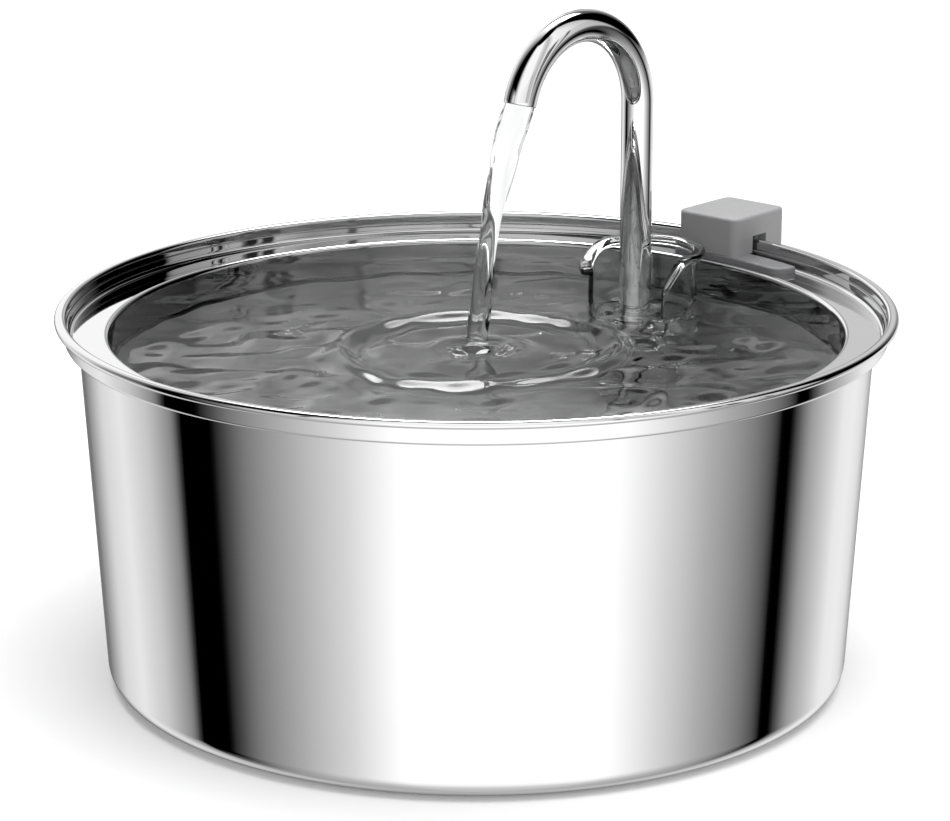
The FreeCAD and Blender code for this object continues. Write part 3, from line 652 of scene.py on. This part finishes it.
def water_body():
    nr, na = 152, 400
    r_edge = BASIN_R - (LEDGE_Z - WATER_Z) * 0.00794 + 0.25
    t = np.linspace(0, 1, nr + 1)[1:]
    rad = r_edge * (1 - (1 - t) ** 1.25)
    verts = [(0, 0, WATER_Z + float(water_height(np.array([0.0]), np.array([0.0]))[0]))]
    ang = np.arange(na) / na * TAU
    for r in rad:
        x, y = r * np.cos(ang), r * np.sin(ang)
        z = WATER_Z + water_height(x, y)
        verts += list(zip(x, y, z))
    faces = []
    for i in range(na):
        faces.append((0, 1 + i, 1 + (i + 1) % na))
    for k in range(nr - 1):
        a, b = 1 + k * na, 1 + (k + 1) * na
        for i in range(na):
            j = (i + 1) % na
            faces.append((a + i, b + i, b + j, a + j))
    # sides and floor follow the basin, a little inside the steel
    side = fillet_path([(r_edge, WATER_Z), (BASIN_FLOOR_R + 0.25, BASIN_FLOOR_Z - 0.25, BASIN_CORNER),
                        (0, BASIN_FLOOR_Z - 0.25)], step=12, closed=False)[1:]
    prev = 1 + (nr - 1) * na
    for r, z in side:
        if r < 1e-6:
            c = len(verts)
            verts.append((0, 0, z))
            for i in range(na):
                faces.append((prev + i, c, prev + (i + 1) % na))
        else:
            base = len(verts)
            verts += [(r * math.cos(a), r * math.sin(a), z) for a in ang]
            for i in range(na):
                j = (i + 1) % na
                faces.append((prev + i, base + i, base + j, prev + j))
            prev = base
    ob = mesh_object("water", verts, faces, sharp=60)
    fix_normals(ob)
    return ob


water = water_body()
water.data.materials.append(WATER)
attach(water, "bowl")


def stream_mesh():
    """The falling jet: from just inside the mouth down to the surface."""
    # (reach along the spout's plan direction from the mouth, height, radius)
    ctl = [(-1.6, 172.0, 4.15), (0.0, 168.2, 4.25), (1.9, 164.6, 4.35), (3.6, 161.0, 4.3), (5.9, 155.6, 4.1),
           (8.3, 149.0, 3.9), (10.9, 140.8, 3.65), (13.4, 130.0, 3.35), (15.6, 119.0, 3.1),
           (17.4, 108.0, 2.9), (18.3, 101.5, 2.9), (18.6, 98.6, 3.2), (18.8, 97.0, 4.2), (18.8, 95.8, 5.2)]
    mx = SPOUT_X + UX * ARCH_R * (1 - math.cos(math.radians(ARCH_SWEEP)))
    my = SPOUT_Y + UY * ARCH_R * (1 - math.cos(math.radians(ARCH_SWEEP)))
    pts = np.array([(mx + UX * s, my + UY * s, z) for s, z, r in ctl])
    rad = np.array([c[2] for c in ctl])
    # smooth through the control points
    dist = np.r_[0, np.cumsum(np.linalg.norm(np.diff(pts, axis=0), axis=1))]
    n = 150
    t = np.linspace(0, dist[-1], n)
    def cr(values):
        out = np.empty(n)
        m = np.gradient(values, dist)
        for i, u in enumerate(t):
            k = min(len(dist) - 2, max(0, int(np.searchsorted(dist, u) - 1)))
            h = dist[k + 1] - dist[k]
            s = (u - dist[k]) / h
            out[i] = ((2 * s**3 - 3 * s**2 + 1) * values[k] + (s**3 - 2 * s**2 + s) * h * m[k]
                      + (-2 * s**3 + 3 * s**2) * values[k + 1] + (s**3 - s**2) * h * m[k + 1])
        return out
    P = np.stack([cr(pts[:, i]) for i in range(3)], 1)
    R = cr(rad)
    D = np.gradient(P, axis=0)
    D /= np.linalg.norm(D, axis=1)[:, None]
    side = np.array([-UY, UX, 0.0])
    segs = 56
    verts, faces = [], []
    for i in range(n):
        up = np.cross(side, D[i])
        up /= np.linalg.norm(up)
        f = i / (n - 1)
        twist = 0.5 + 3.4 * f
        env = math.sin(min(1.0, f * 3.0) * math.pi / 2) * (1 - max(0.0, (f - 0.9) / 0.1))
        for j in range(segs):
            a = TAU * j / segs
            q = 1 + env * (0.20 * math.cos(2 * (a - twist)) + 0.08 * math.cos(3 * (a + 1.7 * twist) + 1.0)
                           - 0.12 * math.exp(-((math.remainder(a - 1.35 * twist - 2.6, TAU)) / 0.28) ** 2))
            v = P[i] + R[i] * q * (side * math.cos(a) + up * math.sin(a))
            verts.append(tuple(v))
    for i in range(n - 1):
        for j in range(segs):
            k = (j + 1) % segs
            faces.append((i * segs + j, i * segs + k, (i + 1) * segs + k, (i + 1) * segs + j))
    c0 = len(verts); verts.append(tuple(P[0]))
    c1 = len(verts); verts.append(tuple(P[-1]))
    for j in range(segs):
        k = (j + 1) % segs
        faces.append((c0, k, j))
        faces.append((c1, (n - 1) * segs + j, (n - 1) * segs + k))
    ob = mesh_object("water_stream", verts, faces, sharp=60)
    fix_normals(ob)
    foot = Vector(P[-1]) * MM
    top = Vector(P[4]) * MM
    return ob, top, foot


stream, s_top, s_foot = stream_mesh()
stream.data.materials.append(SHADED_JET)
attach(stream, "spout")
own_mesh(stream)

# -------------------------------------------------------------------- studio
floor_me = bpy.data.meshes.new("studio_floor")
bm = bmesh.new()
bmesh.ops.create_grid(bm, x_segments=8, y_segments=8, size=6.0)
bm.to_mesh(floor_me)
bm.free()
floor = bpy.data.objects.new("studio_floor", floor_me)
coll.objects.link(floor)
fm, fnt, fb = new_material("studio_floor")
fb.inputs["Base Color"].default_value = (0.96, 0.96, 0.96, 1)
fb.inputs["Roughness"].default_value = 0.95
fb.inputs["Specular IOR Level"].default_value = 0.0
# far from the object the floor itself glows, more with distance, so the sweep stays evenly white
fco = fnt.nodes.new("ShaderNodeTexCoord")
flen = fnt.nodes.new("ShaderNodeVectorMath")
flen.operation = "LENGTH"
link(fnt, fco.outputs["Object"], flen.inputs[0])
fb.inputs["Emission Color"].default_value = (1, 1, 1, 1)
link(fnt, remap(fnt, flen.outputs["Value"], 0.9, 2.6, 0.0, 0.75), fb.inputs["Emission Strength"])
floor.data.materials.append(fm)
floor.visible_glossy = False

world = bpy.data.worlds.new("studio")
scene.world = world
world.use_nodes = True
wn = world.node_tree
wn.nodes.clear()
out = wn.nodes.new("ShaderNodeOutputWorld")
bg = wn.nodes.new("ShaderNodeBackground")
link(wn, bg.outputs[0], out.inputs["Surface"])
tc = wn.nodes.new("ShaderNodeTexCoord")
sep = wn.nodes.new("ShaderNodeSeparateXYZ")
link(wn, tc.outputs["Generated"], sep.inputs[0])
az = math_node(wn, "ARCTAN2", sep.outputs["X"], math_node(wn, "MULTIPLY", sep.outputs["Y"], -1.0))
azf = remap(wn, az, -math.pi, math.pi, 0.0, 1.0)


def ramp(nt, fac, stops):
    r = nt.nodes.new("ShaderNodeValToRGB")
    cr = r.color_ramp
    cr.interpolation = "LINEAR"
    while len(cr.elements) > 1:
        cr.elements.remove(cr.elements[-1])
    cr.elements[0].position = stops[0][0]
    cr.elements[0].color = (stops[0][1],) * 3 + (1,)
    for p, v in stops[1:]:
        e = cr.elements.new(p)
        e.color = (v, v, v, 1)
    link(nt, fac, r.inputs["Fac"])
    return r.outputs["Color"]


def deg_stops(stops, top=1.3):
    return [((a + 180.0) / 360.0, v / top) for a, v in stops]


# below the horizon: a wide white card in front, a black flag at each side and
# light grey cards behind them
low = ramp(wn, azf, deg_stops([
    (-180, 0.16), (-160, 0.20), (-150, 0.45), (-140, 0.80), (-126, 0.98), (-111, 0.70), (-99, 0.30),
    (-95, 0.0), (-82, 0.0), (-77, 0.08), (-70, 0.24), (-55, 0.50), (-38, 0.84), (-22, 1.3), (40, 1.3),
    (57, 0.84), (71, 0.52), (88, 0.24), (94, 0.12), (98.5, 0.0), (103.5, 0.0), (107, 0.12), (113, 0.40),
    (121, 0.62), (134, 0.98), (143, 1.0), (153, 0.85), (166, 0.4), (180, 0.16)]))
# from the horizon to 25 degrees: the same flags, the right one broader, and a
# grey panel straight behind
mid = ramp(wn, azf, deg_stops([
    (-180, 0.46), (-178.5, 0.62), (-176.5, 0.52), (-174.5, 1.1), (-150, 1.1), (-137, 0.80), (-122, 0.6),
    (-99, 0.4), (-95, 0.0), (-84, 0.0), (-80, 0.25), (-66, 0.7), (-34, 1.0), (-22, 1.15), (25, 1.0),
    (38, 0.75), (50, 0.55), (62, 0.95), (80, 0.8), (92, 0.65), (101, 0.55), (104, 0.0), (140, 0.0), (153, 0.14),
    (163, 0.35), (174, 0.72), (176, 0.45), (178.4, 0.30), (180, 0.46)]))
# above that the flags are broad, the front card and the sweep behind white
high = ramp(wn, azf, deg_stops([
    (-180, 1.1), (-150, 1.1), (-137, 0.75), (-127, 0.5),
    (-112, 0.2), (-98, 0.0), (-54, 0.0), (-44, 0.35), (-34, 0.95), (-22, 1.15), (25, 1.15), (38, 0.8),
    (50, 0.55), (62, 1.1), (80, 1.0), (92, 0.75), (101, 0.65), (104, 0.0), (142, 0.0), (153, 0.12),
    (163, 0.35), (172, 0.72), (177, 1.0), (180, 1.1)]))


def blend(nt, fac, a, b):
    m = nt.nodes.new("ShaderNodeMix")
    m.data_type = "RGBA"
    link(nt, fac, m.inputs["Factor"])
    for k, v in (("A", a), ("B", b)):
        if isinstance(v, float):
            m.inputs[k].default_value = (v, v, v, 1)
        else:
            link(nt, v, m.inputs[k])
    return m.outputs["Result"]


# stands between the cards near the horizon: narrow dark bars that the inner
# rim mirrors, with a broad grey flag at the left
bars = ramp(wn, azf, [((a + 180.0) / 360.0, v) for a, v in [
    (-180, 1.0), (-124, 1.0), (-116, 0.45), (-98, 0.25), (-70, 0.30), (-62, 0.9), (-58, 1.0), (-47, 1.0),
    (-46.5, 0.2), (-44, 0.2), (-43.5, 1.0), (36, 1.0), (36.5, 0.25), (38, 0.25), (38.5, 1.0), (62.5, 1.0),
    (63, 0.06), (66.2, 0.06), (66.6, 0.8), (68.2, 0.8), (68.6, 0.04), (73, 0.04), (73.5, 1.0), (81, 1.0),
    (81.4, 0.15), (83, 0.15), (83.4, 1.0), (180, 1.0)]])


def times(nt, a, b):
    m = nt.nodes.new("ShaderNodeMix")
    m.data_type = "RGBA"
    m.blend_type = "MULTIPLY"
    m.inputs["Factor"].default_value = 1.0
    link(nt, a, m.inputs["A"])
    link(nt, b, m.inputs["B"])
    return m.outputs["Result"]


mid = times(wn, mid, bars)
up = sep.outputs["Z"]
sky = blend(wn, remap(wn, up, 0.36, 0.46, 0, 1), mid, high)
# behind and above, a narrow dark flag that only rippled water and rounded edges
# catch
side = math_node(wn, "ABSOLUTE", az)
flag = math_node(wn, "MULTIPLY", remap(wn, side, math.radians(150), math.radians(163), 0, 1),
                 math_node(wn, "MULTIPLY", remap(wn, up, 0.47, 0.52, 0, 1), remap(wn, up, 0.62, 0.68, 1, 0)))
sky = blend(wn, flag, sky, 0.10)
# a small bright card with soft edges above the flag, seen only in reflections:
# it draws the crests of the ripples
path = wn.nodes.new("ShaderNodeLightPath")
card = math_node(wn, "MULTIPLY", remap(wn, side, math.radians(150), math.radians(168), 0, 1),
                 math_node(wn, "MULTIPLY", remap(wn, up, 0.69, 0.73, 0, 1), remap(wn, up, 0.87, 0.92, 1, 0)))
card = math_node(wn, "MULTIPLY", card, path.outputs["Is Glossy Ray"])
sky = blend(wn, card, sky, 13.0)
sky = blend(wn, remap(wn, up, -0.10, 0.04, 0, 1), low, sky)
nadir = blend(wn, remap(wn, up, -0.97, -0.70, 0.9, 0.45), low, 0.42)
sky = blend(wn, remap(wn, up, -0.80, -0.55, 1, 0), sky, nadir)     # straight below
sky = blend(wn, remap(wn, up, 0.962, 0.975, 0, 1), sky, 0.0)      # straight above
# seen directly, the studio is a plain pale backdrop
sky = blend(wn, path.outputs["Is Camera Ray"], sky, 0.80)
link(wn, sky, bg.inputs["Color"])
bg.inputs["Strength"].default_value = 1.3

sun_data = bpy.data.lights.new("overhead_softbox", "AREA")
sun_data.shape = "RECTANGLE"
sun_data.size, sun_data.size_y = 2.4, 2.4
sun_data.energy = 60.0
softbox = bpy.data.objects.new("overhead_softbox", sun_data)
coll.objects.link(softbox)
softbox.location = (0.3, -0.2, 2.2)
softbox.visible_glossy = False
softbox.visible_transmission = False

cam_data = bpy.data.cameras.new("camera")
cam = bpy.data.objects.new("camera", cam_data)
coll.objects.link(cam)
cam_data.lens = 132.7
cam_data.sensor_width = 36.0
cam_data.sensor_fit = "HORIZONTAL"
cam_data.shift_x = -0.0016
cam_data.shift_y = 0.0805
cam_data.clip_start = 0.05
cam_data.clip_end = 30.0
cam.location = (0.0, -1.0109, 0.3744)
cam.rotation_euler = (math.radians(72.57), 0.0, 0.0)
scene.camera = cam
scene.view_settings.view_transform = "Standard"
scene.view_settings.look = "None"
